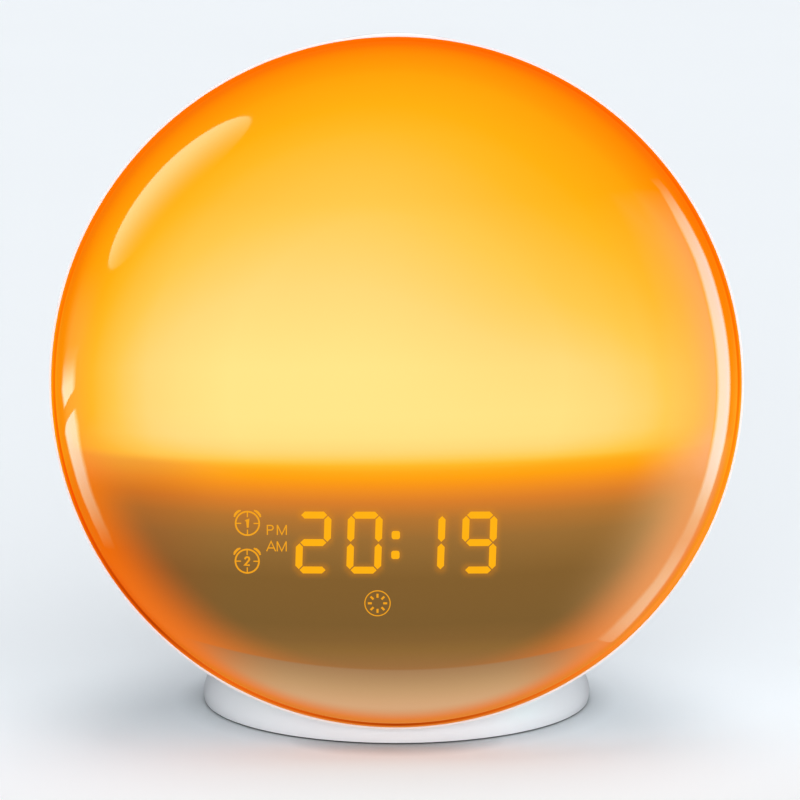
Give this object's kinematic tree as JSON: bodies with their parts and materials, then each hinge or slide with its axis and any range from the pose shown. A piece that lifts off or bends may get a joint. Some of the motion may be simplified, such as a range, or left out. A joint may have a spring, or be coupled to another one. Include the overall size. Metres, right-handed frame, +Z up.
{
  "type": "sunrise alarm clock",
  "caption": "Bedside clock whose round domed front glows like a dawn, with a lit time display, side keys, a snooze bar on top and a flared foot.",
  "frame": {"origin": "centre of the footprint of the whole clock, on the table under its rubber feet", "axes": "+X to the clock's right as seen from its front, +Y to its back, +Z up; the face looks along -Y and leans back by 10 degrees"},
  "size_m": [0.171, 0.1022, 0.1722],
  "materials": {
    "opal_diffuser": "opal, glossy, lit warm from behind",
    "white_abs": "moulded, glossy white",
    "reflector_white": "diffuse white",
    "screw_steel": "zinc plated",
    "lamp_board": "white solder mask on aluminium",
    "phosphor": "yellow phosphor",
    "colour_lens": "clear epoxy over white",
    "smoked_mask": "smoked, satin",
    "circuit_board": "green solder mask on glass epoxy",
    "black_moulding": "moulded black",
    "amber_light": "lit amber",
    "tinned_can": "tinned",
    "capacitor_can": "sleeved can",
    "nylon_white": "moulded",
    "grey_rubber": "matte",
    "black_basket": "black lacquer on pressed steel",
    "ferrite": "sintered ferrite",
    "cone_paper": "pressed paper",
    "black_foam": "foam",
    "spring_steel": "drawn wire",
    "ribbon_grey": "flat ribbon cable",
    "lead_red": "vinyl",
    "lead_white": "vinyl",
    "cell_steel": "nickel plated",
    "contact_brass": "spring brass"
  },
  "bodies": {
    "clock": {"aerial_grommet": "grey_rubber", "base_plate": "white_abs", "base_screws": "screw_steel", "base_shell": "white_abs", "battery_contacts": "contact_brass", "battery_leads": "lead_red", "board_capacitors": "capacitor_can", "coin_cell": "cell_steel", "colour_leds": "colour_lens", "control_chips": "black_moulding", "dc_jack": "black_moulding", "dc_leads": "lead_red", "digit_segments": "amber_light", "display_block": "black_moulding", "display_board": "circuit_board", "display_ribbon": "ribbon_grey", "display_screws": "screw_steel", "display_shroud": "smoked_mask", "display_symbols": "amber_light", "front_diffuser": "opal_diffuser", "key_board_screws": "screw_steel", "key_leads": "lead_white", "key_switches": "black_moulding", "lead_sockets": "nylon_white", "left_key_board": "circuit_board", "light_board": "lamp_board", "light_board_screws": "screw_steel", "light_leads": "lead_red", "main_board": "circuit_board", "main_board_screws": "screw_steel", "plate_screws": "screw_steel", "radio_module": "tinned_can", "rear_housing": "white_abs", "reflector_bowl": "reflector_white", "reflector_screws": "screw_steel", "reset_switch": "black_moulding", "right_key_board": "circuit_board", "rubber_feet": "grey_rubber", "snooze_springs": "spring_steel", "speaker_frame": "black_basket", "speaker_gasket": "black_foam", "speaker_leads": "lead_red", "speaker_magnet": "ferrite", "speaker_screws": "screw_steel", "speaker_surround": "black_foam", "top_key_board": "circuit_board", "warm_leds": "phosphor"},
    "alarm1_button": {"alarm1_button": "white_abs"},
    "alarm2_button": {"alarm2_button": "white_abs"},
    "time_button": {"time_button": "white_abs"},
    "light_button": {"light_button": "white_abs"},
    "plus_button": {"plus_button": "white_abs"},
    "minus_button": {"minus_button": "white_abs"},
    "sound_button": {"sound_button": "white_abs"},
    "radio_button": {"radio_button": "white_abs"},
    "snooze_button": {"snooze_button": "white_abs"},
    "speaker_cone": {"speaker_cone": "cone_paper"},
    "battery_cap": {"battery_cap": "white_abs"}
  },
  "joints": [
    {"name": "alarm1_press", "type": "slide", "parent": "clock", "child": "alarm1_button", "axis": [0.9996, -0.0052, -0.0292], "range_m": [0, 0.0006], "stiffness_N_per_m": 400},
    {"name": "alarm2_press", "type": "slide", "parent": "clock", "child": "alarm2_button", "axis": [0.9892, 0.0254, 0.1441], "range_m": [0, 0.0006], "stiffness_N_per_m": 400},
    {"name": "time_press", "type": "slide", "parent": "clock", "child": "time_button", "axis": [0.9482, 0.0552, 0.3128], "range_m": [0, 0.0006], "stiffness_N_per_m": 400},
    {"name": "light_press", "type": "slide", "parent": "clock", "child": "light_button", "axis": [0.8777, 0.0832, 0.4719], "range_m": [0, 0.0006], "stiffness_N_per_m": 400},
    {"name": "plus_press", "type": "slide", "parent": "clock", "child": "plus_button", "axis": [-0.9996, -0.0052, -0.0292], "range_m": [0, 0.0006], "stiffness_N_per_m": 400},
    {"name": "minus_press", "type": "slide", "parent": "clock", "child": "minus_button", "axis": [-0.9892, 0.0254, 0.1441], "range_m": [0, 0.0006], "stiffness_N_per_m": 400},
    {"name": "sound_press", "type": "slide", "parent": "clock", "child": "sound_button", "axis": [-0.9482, 0.0552, 0.3128], "range_m": [0, 0.0006], "stiffness_N_per_m": 400},
    {"name": "radio_press", "type": "slide", "parent": "clock", "child": "radio_button", "axis": [-0.8777, 0.0832, 0.4719], "range_m": [0, 0.0006], "stiffness_N_per_m": 400},
    {"name": "snooze_press", "type": "slide", "parent": "clock", "child": "snooze_button", "axis": [0, -0.1736, -0.9848], "range_m": [0, 0.0008], "stiffness_N_per_m": 600, "deforming": ["snooze_springs"]},
    {"name": "cone_stroke", "type": "slide", "parent": "clock", "child": "speaker_cone", "axis": [0, 0.9848, -0.1736], "range_m": [-0.0006, 0.0006], "stiffness_N_per_m": 500, "deforming": ["speaker_surround"]},
    {"name": "cap_turn", "type": "hinge", "parent": "clock", "child": "battery_cap", "pos_m": [0, 0.02729, 0.0012], "axis": [0, 0, 1], "range_deg": [0, 40]}
  ]
}
